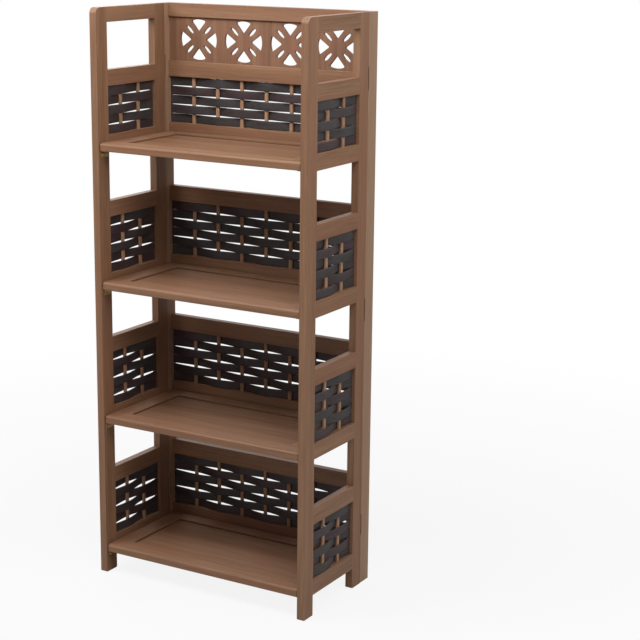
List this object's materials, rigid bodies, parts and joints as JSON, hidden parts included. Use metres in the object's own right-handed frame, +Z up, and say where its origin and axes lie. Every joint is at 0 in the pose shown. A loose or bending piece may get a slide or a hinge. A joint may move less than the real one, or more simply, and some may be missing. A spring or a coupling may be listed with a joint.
{
  "type": "folding shelf unit",
  "caption": "Tall folding shelf unit: hinged wood frames with woven panels, a pierced fretwork board at the top of the back, and framed shelves that tip up into the back.",
  "frame": {"origin": "on the floor, under the middle of the unit's width and depth", "axes": "+X to the right as seen from the front, +Y from the open front to the back, +Z up"},
  "size_m": [0.604, 0.318, 1.42],
  "materials": {
    "frame_wood": "satin stained hardwood, grain along each piece",
    "rail_wood": "satin stained hardwood, grain along each rail",
    "fret_wood": "satin stained board, grain along its length",
    "shelf_frame_wood": "satin stained hardwood, grain along each rail",
    "shelf_panel_wood": "satin stained veneered board, grain along its length",
    "slat_wood": "matt, lighter than the frame",
    "weave": "dark split cane or wood strip, low sheen",
    "brass": "satin",
    "bronze": "dark bronzed, satin",
    "pivot_steel": "plain"
  },
  "bodies": {
    "frame": {"left_front_stile": "frame_wood", "left_rear_stile": "frame_wood", "left_top_rail": "frame_wood", "left_weave_top_rails": "rail_wood", "left_shelf_rails": "rail_wood", "left_slats": "slat_wood", "left_weave_1": "weave", "left_weave_2": "weave", "left_weave_3": "weave", "left_weave_4": "weave", "left_dowels": "slat_wood", "left_shelf_rests": "brass", "right_front_stile": "frame_wood", "right_rear_stile": "frame_wood", "right_top_rail": "frame_wood", "right_weave_top_rails": "rail_wood", "right_shelf_rails": "rail_wood", "right_slats": "slat_wood", "right_weave_1": "weave", "right_weave_2": "weave", "right_weave_3": "weave", "right_weave_4": "weave", "right_dowels": "slat_wood", "right_shelf_rests": "brass", "shelf_rest_screws": "brass", "left_post": "frame_wood", "right_post": "frame_wood", "back_top_rail": "rail_wood", "back_weave_top_rails": "rail_wood", "back_shelf_rails": "rail_wood", "fret_panel": "fret_wood", "back_slats": "slat_wood", "back_weave_1": "weave", "back_weave_2": "weave", "back_weave_3": "weave", "back_weave_4": "weave", "back_dowels": "slat_wood", "left_hinge_post_leaves": "bronze", "left_hinge_side_leaves": "bronze", "left_hinge_pins": "bronze", "right_hinge_post_leaves": "bronze", "right_hinge_side_leaves": "bronze", "right_hinge_pins": "bronze", "side_hinge_screws": "bronze"},
    "shelf_1": {"shelf_1_long_rails": "shelf_frame_wood", "shelf_1_end_rails": "shelf_frame_wood", "shelf_1_panel": "shelf_panel_wood", "shelf_1_pivot_pins": "pivot_steel"},
    "shelf_2": {"shelf_2_long_rails": "shelf_frame_wood", "shelf_2_end_rails": "shelf_frame_wood", "shelf_2_panel": "shelf_panel_wood", "shelf_2_pivot_pins": "pivot_steel"},
    "shelf_3": {"shelf_3_long_rails": "shelf_frame_wood", "shelf_3_end_rails": "shelf_frame_wood", "shelf_3_panel": "shelf_panel_wood", "shelf_3_pivot_pins": "pivot_steel"},
    "shelf_4": {"shelf_4_long_rails": "shelf_frame_wood", "shelf_4_end_rails": "shelf_frame_wood", "shelf_4_panel": "shelf_panel_wood", "shelf_4_pivot_pins": "pivot_steel"}
  },
  "joints": [
    {"name": "shelf_1_fold", "type": "hinge", "parent": "frame", "child": "shelf_1", "pos_m": [0, 0.129, 1.0895], "axis": [-1, 0, 0], "range_deg": [0, 90]},
    {"name": "shelf_2_fold", "type": "hinge", "parent": "frame", "child": "shelf_2", "pos_m": [0, 0.129, 0.748], "axis": [-1, 0, 0], "range_deg": [0, 90]},
    {"name": "shelf_3_fold", "type": "hinge", "parent": "frame", "child": "shelf_3", "pos_m": [0, 0.129, 0.4065], "axis": [-1, 0, 0], "range_deg": [0, 90]},
    {"name": "shelf_4_fold", "type": "hinge", "parent": "frame", "child": "shelf_4", "pos_m": [0, 0.129, 0.065], "axis": [-1, 0, 0], "range_deg": [0, 90]}
  ]
}
